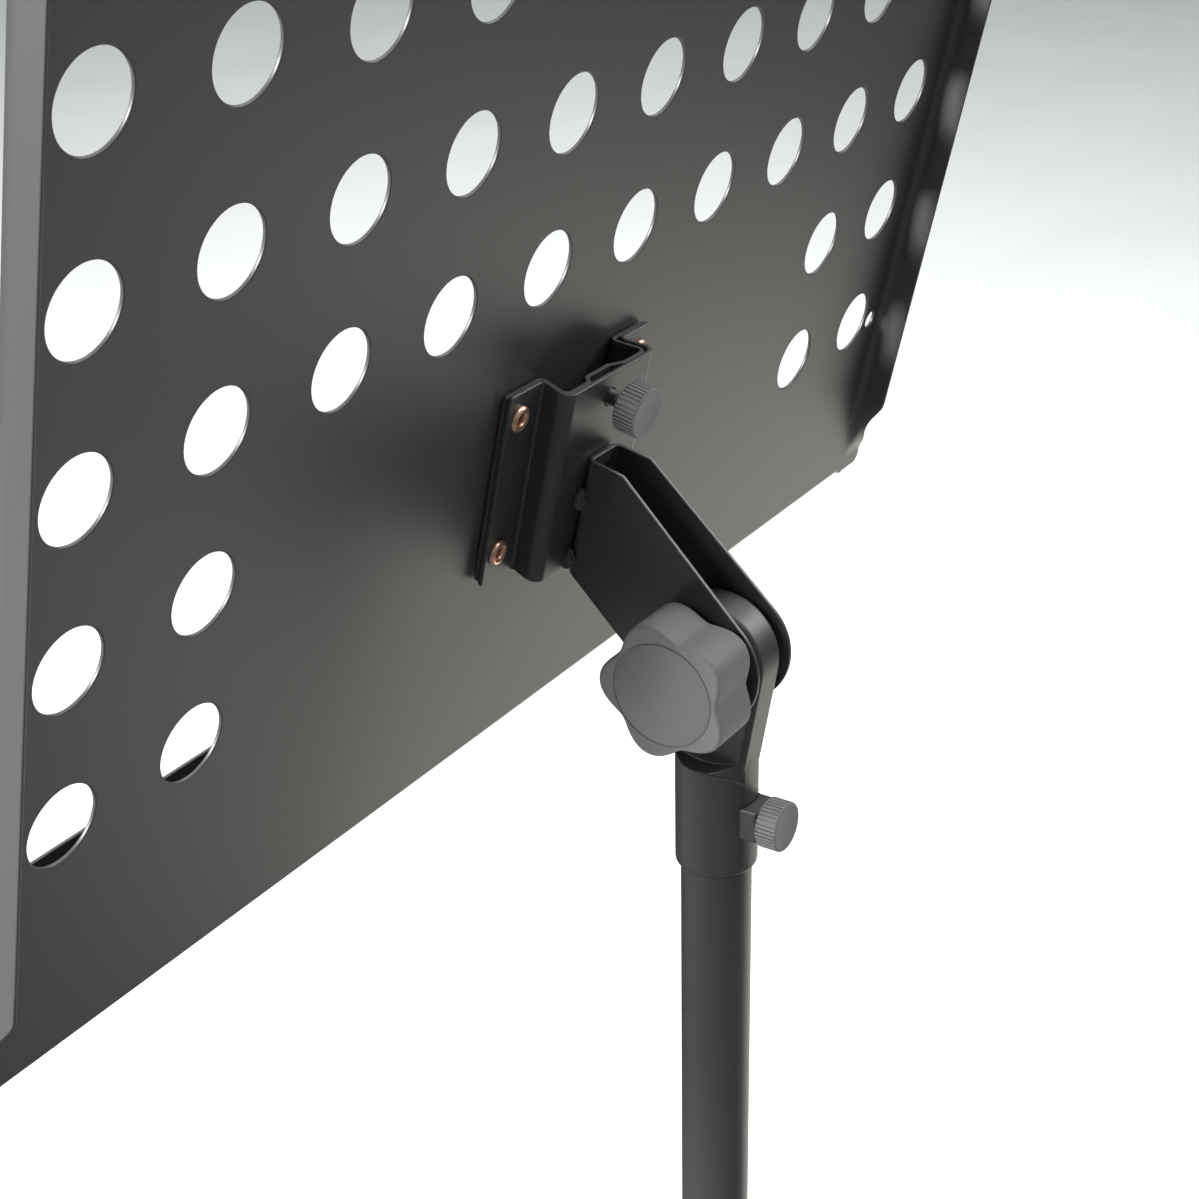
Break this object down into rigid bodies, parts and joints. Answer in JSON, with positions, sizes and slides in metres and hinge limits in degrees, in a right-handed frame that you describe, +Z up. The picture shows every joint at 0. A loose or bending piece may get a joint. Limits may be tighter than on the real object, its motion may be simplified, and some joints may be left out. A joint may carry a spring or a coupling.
{
  "type": "orchestra music stand",
  "caption": "Perforated sheet-metal desk on a tilting knob-clamped bracket, a telescopic mast and a folding tripod base.",
  "frame": {"origin": "middle of the flat underside of the plug that closes the mast's foot, 20 mm above the floor that the feet stand on, on the mast's axis", "axes": "+Z up along the mast; -Y towards the musician, who faces the desk; +X towards the side with the tilt knob"},
  "size_m": [0.4986, 0.4349, 1.2566],
  "materials": {
    "desk_paint": "semi-gloss black powder coat with a faint dusty speckle",
    "frame_paint": "glossy black paint over folded steel sheet and tube, bright along its edges",
    "leg_paint": "glossy black paint over folded steel channel",
    "knob_plastic": "fine-grained moulded black plastic",
    "hub_plastic": "satin moulded black plastic",
    "foot_rubber": "matte black rubber",
    "rivet_copper": "bright copper plating",
    "zinc_steel": "bright zinc plating",
    "black_steel": "blackened steel thread",
    "insert_brass": "turned brass"
  },
  "bodies": {
    "base": {"lower_tube": "frame_paint", "bottom_plug": "hub_plastic", "clamp_collar": "hub_plastic", "leg_hub": "hub_plastic", "hub_pin_front": "zinc_steel", "hub_pin_right": "zinc_steel", "hub_pin_left": "zinc_steel"},
    "mast_carriage": {"mast_glide": "hub_plastic"},
    "mast": {"upper_tube": "frame_paint"},
    "head": {"head_socket": "frame_paint", "socket_nut": "frame_paint", "friction_washer_right": "hub_plastic", "friction_washer_left": "hub_plastic"},
    "desk": {"desk_panel": "desk_paint", "bracket_liner": "frame_paint", "bracket_channel": "frame_paint", "rivet_right_low": "rivet_copper", "rivet_right_top": "rivet_copper", "rivet_left_low": "rivet_copper", "rivet_left_top": "rivet_copper", "tilt_yoke": "frame_paint", "pivot_bolt": "zinc_steel", "knob_washer": "zinc_steel"},
    "tilt_knob": {"star_knob": "knob_plastic", "knob_nut": "insert_brass"},
    "desk_screw": {"desk_screw_grip": "knob_plastic", "desk_screw_stud": "black_steel"},
    "socket_screw": {"socket_screw_grip": "knob_plastic", "socket_screw_stud": "black_steel"},
    "mast_clamp": {"clamp_knob": "knob_plastic", "clamp_stud": "zinc_steel"},
    "spreader": {"spreader_hub": "hub_plastic"},
    "spreader_screw": {"spreader_screw_grip": "knob_plastic", "spreader_screw_stud": "black_steel"},
    "leg_front": {"leg_front": "leg_paint", "foot_front": "foot_rubber", "brace_pin_front": "zinc_steel"},
    "brace_front": {"brace_front": "leg_paint"},
    "leg_right": {"leg_right": "leg_paint", "foot_right": "foot_rubber", "brace_pin_right": "zinc_steel"},
    "brace_right": {"brace_right": "leg_paint"},
    "leg_left": {"leg_left": "leg_paint", "foot_left": "foot_rubber", "brace_pin_left": "zinc_steel"},
    "brace_left": {"brace_left": "leg_paint"}
  },
  "joints": [
    {"name": "mast_height", "type": "slide", "parent": "base", "child": "mast_carriage", "axis": [0, 0, 1], "range_m": [-0.235, 0.19]},
    {"name": "mast_swivel", "type": "hinge", "parent": "mast_carriage", "child": "mast", "pos_m": [0, 0, 0.6], "axis": [0, 0, 1], "continuous": true},
    {"name": "head_lift", "type": "slide", "parent": "mast", "child": "head", "axis": [0, 0, 1], "range_m": [0, 0.045]},
    {"name": "desk_tilt", "type": "hinge", "parent": "head", "child": "desk", "pos_m": [0, 0, 0.96], "axis": [-1, 0, 0], "range_deg": [-27.5, 77.5]},
    {"name": "tilt_knob_turn", "type": "hinge", "parent": "desk", "child": "tilt_knob", "pos_m": [0.02, 0, 0.96], "axis": [1, 0, 0], "continuous": true},
    {"name": "desk_screw_turn", "type": "hinge", "parent": "desk", "child": "desk_screw", "pos_m": [0, -0.02819, 1.0315], "axis": [0, 0.9763, -0.2164], "continuous": true},
    {"name": "socket_screw_turn", "type": "hinge", "parent": "head", "child": "socket_screw", "pos_m": [0, 0.02, 0.907], "axis": [0, 1, 0], "continuous": true},
    {"name": "mast_clamp_turn", "type": "hinge", "parent": "base", "child": "mast_clamp", "pos_m": [0, 0.035, 0.612], "axis": [0, 1, 0], "continuous": true},
    {"name": "leg_front_fold", "type": "hinge", "parent": "base", "child": "leg_front", "pos_m": [0, -0.026, 0.28], "axis": [1, 0, 0], "range_deg": [0, 36.5]},
    {"name": "leg_right_fold", "type": "hinge", "parent": "base", "child": "leg_right", "pos_m": [0.02252, 0.013, 0.28], "axis": [-0.5, 0.866, 0], "range_deg": [0, 36.5]},
    {"name": "leg_left_fold", "type": "hinge", "parent": "base", "child": "leg_left", "pos_m": [-0.02252, 0.013, 0.28], "axis": [-0.5, -0.866, 0], "range_deg": [0, 36.5]},
    {"name": "brace_front_fold", "type": "hinge", "parent": "leg_front", "child": "brace_front", "pos_m": [0, -0.10394, 0.18876], "axis": [1, 0, 0], "range_deg": [-73.1, 0]},
    {"name": "brace_right_fold", "type": "hinge", "parent": "leg_right", "child": "brace_right", "pos_m": [0.09001, 0.05197, 0.18876], "axis": [-0.5, 0.866, 0], "range_deg": [-73.1, 0]},
    {"name": "brace_left_fold", "type": "hinge", "parent": "leg_left", "child": "brace_left", "pos_m": [-0.09001, 0.05197, 0.18876], "axis": [-0.5, -0.866, 0], "range_deg": [-73.1, 0]},
    {"name": "spreader_slide", "type": "slide", "parent": "base", "child": "spreader", "axis": [0, 0, 1], "range_m": [-0.0571, 0]},
    {"name": "spreader_screw_turn", "type": "hinge", "parent": "spreader", "child": "spreader_screw", "pos_m": [0, 0.03, 0.09751], "axis": [0, 1, 0], "continuous": true}
  ],
  "couplings": [
    {"joint": "leg_right_fold", "follows": "leg_front_fold", "ratio": 1},
    {"joint": "leg_left_fold", "follows": "leg_front_fold", "ratio": 1},
    {"joint": "brace_front_fold", "follows": "leg_front_fold", "ratio": -2},
    {"joint": "brace_right_fold", "follows": "leg_front_fold", "ratio": -2},
    {"joint": "brace_left_fold", "follows": "leg_front_fold", "ratio": -2},
    {"joint": "spreader_slide", "follows": "leg_front_fold", "m_per_rad": -0.089358}
  ]
}
